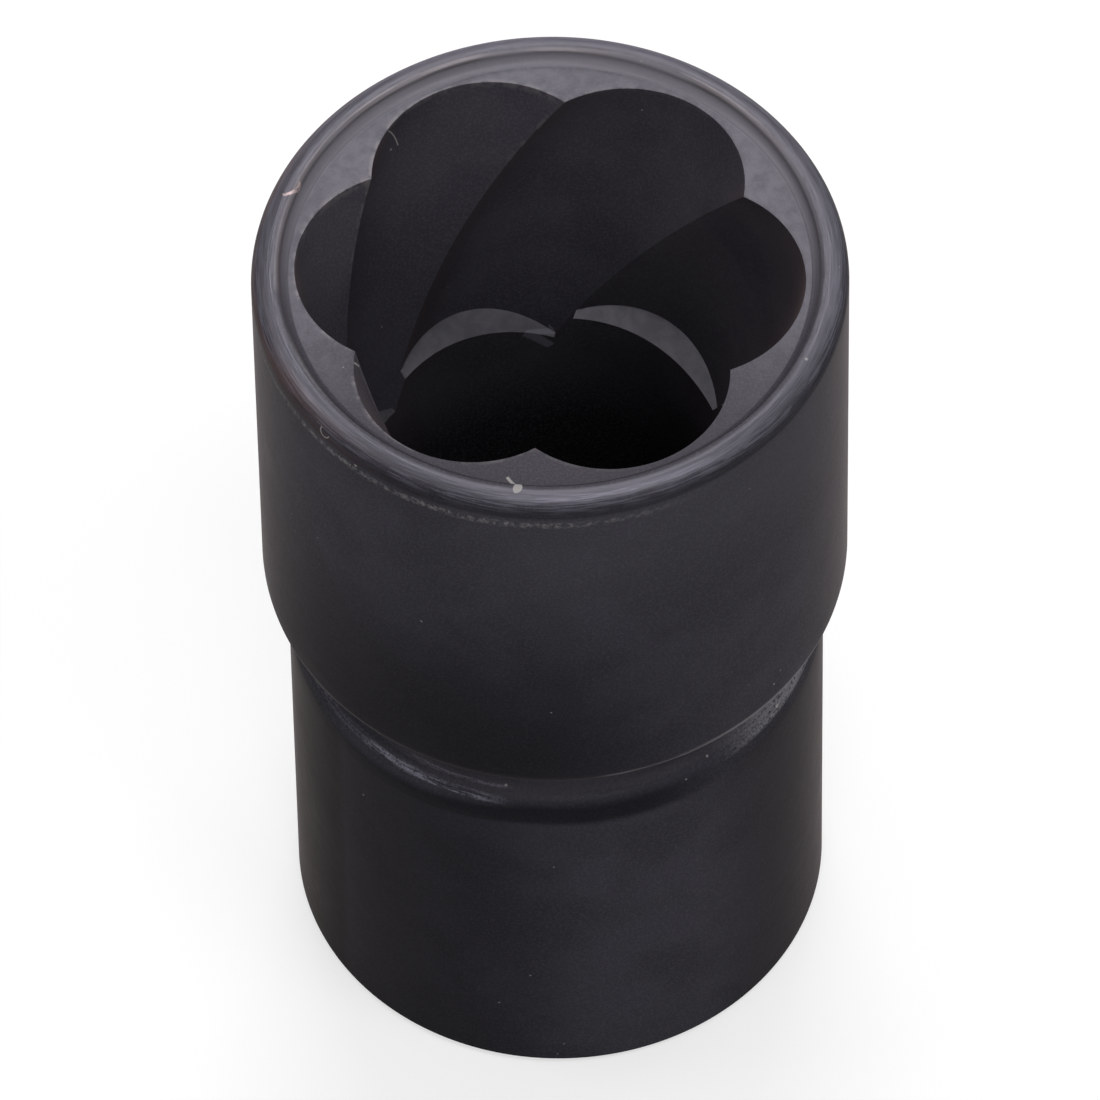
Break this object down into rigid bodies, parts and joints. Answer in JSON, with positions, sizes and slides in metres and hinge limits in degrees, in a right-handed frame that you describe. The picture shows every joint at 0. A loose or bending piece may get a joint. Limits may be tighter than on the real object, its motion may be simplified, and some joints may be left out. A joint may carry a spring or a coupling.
{
  "type": "nut extractor socket",
  "caption": "Turned steel socket with left-hand twisted flutes at the mouth that grip a worn nut, and a square drive hole at the other end.",
  "frame": {"origin": "on the axis, in the plane of the drive face that the socket stands on", "axes": "+Z along the axis, from the drive face to the mouth"},
  "size_m": [0.0294, 0.0294, 0.05],
  "materials": {
    "black_steel": "black phosphate, lightly oiled, satin"
  },
  "bodies": {
    "root": {"socket_body": "black_steel"}
  },
  "joints": []
}
